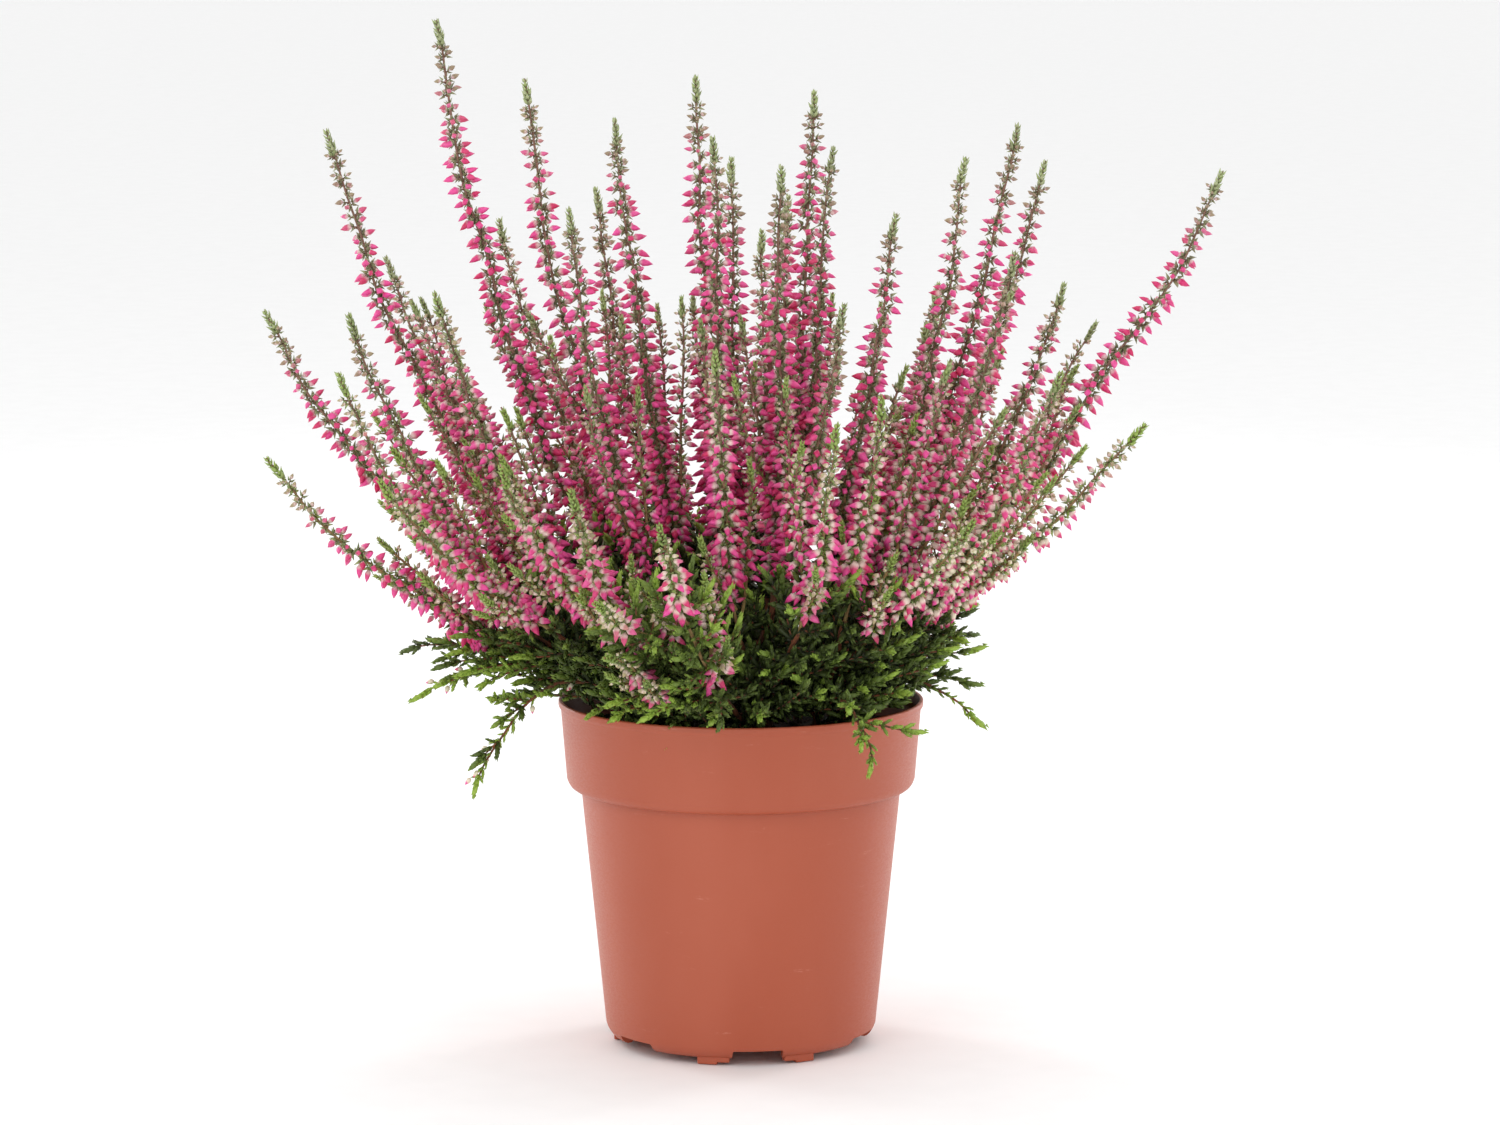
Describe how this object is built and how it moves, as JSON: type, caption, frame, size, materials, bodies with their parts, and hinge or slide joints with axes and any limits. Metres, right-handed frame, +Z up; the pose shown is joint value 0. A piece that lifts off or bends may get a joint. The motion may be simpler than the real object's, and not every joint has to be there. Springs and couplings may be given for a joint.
{
  "type": "potted heather",
  "caption": "Bud-blooming heather with upright pink flower spikes and scaly green shoots in a round collared plastic nursery pot.",
  "frame": {"origin": "on the pot's axis, at the level of the undersides of its feet", "axes": "+Z up along the pot's axis; -Y is the side that faces the viewer; +X to the viewer's right"},
  "size_m": [0.3131, 0.2462, 0.336],
  "materials": {
    "terracotta_plastic": "satin",
    "peat_soil": "matte",
    "heather_leaf": "matte",
    "heather_bud": "matte"
  },
  "bodies": {
    "root": {"pot": "terracotta_plastic", "soil": "peat_soil", "leafy_stem_01": "heather_leaf", "leafy_stem_02": "heather_leaf", "leafy_stem_03": "heather_leaf", "leafy_stem_04": "heather_leaf", "leafy_stem_05": "heather_leaf", "leafy_stem_06": "heather_leaf", "leafy_stem_07": "heather_leaf", "leafy_stem_08": "heather_leaf", "leafy_stem_09": "heather_leaf", "leafy_stem_10": "heather_leaf", "flower_spike_01_1": "heather_bud", "flower_spike_01_2": "heather_bud", "flower_spike_01_3": "heather_bud", "flower_spike_01_4": "heather_bud", "flower_spike_01_5": "heather_bud", "flower_spike_02_1": "heather_bud", "flower_spike_02_2": "heather_bud", "flower_spike_02_3": "heather_bud", "flower_spike_02_4": "heather_bud", "flower_spike_02_5": "heather_bud", "flower_spike_03_1": "heather_bud", "flower_spike_03_2": "heather_bud", "flower_spike_03_3": "heather_bud", "flower_spike_03_4": "heather_bud", "flower_spike_03_5": "heather_bud", "flower_spike_04_1": "heather_bud", "flower_spike_04_2": "heather_bud", "flower_spike_04_3": "heather_bud", "flower_spike_04_4": "heather_bud", "flower_spike_05_1": "heather_bud", "flower_spike_05_2": "heather_bud", "flower_spike_05_3": "heather_bud", "flower_spike_05_4": "heather_bud", "flower_spike_05_5": "heather_bud", "flower_spike_06_1": "heather_bud", "flower_spike_06_2": "heather_bud", "flower_spike_06_3": "heather_bud", "flower_spike_06_4": "heather_bud", "flower_spike_06_5": "heather_bud", "flower_spike_07_1": "heather_bud", "flower_spike_07_2": "heather_bud", "flower_spike_07_3": "heather_bud", "flower_spike_07_4": "heather_bud", "flower_spike_08_1": "heather_bud", "flower_spike_08_2": "heather_bud", "flower_spike_08_3": "heather_bud", "flower_spike_08_4": "heather_bud", "flower_spike_08_5": "heather_bud", "flower_spike_09_1": "heather_bud", "flower_spike_09_2": "heather_bud", "flower_spike_09_3": "heather_bud", "flower_spike_09_4": "heather_bud", "flower_spike_09_5": "heather_bud", "flower_spike_10_1": "heather_bud", "flower_spike_10_2": "heather_bud", "flower_spike_10_3": "heather_bud", "flower_spike_10_4": "heather_bud", "flower_spike_10_5": "heather_bud"}
  },
  "joints": []
}
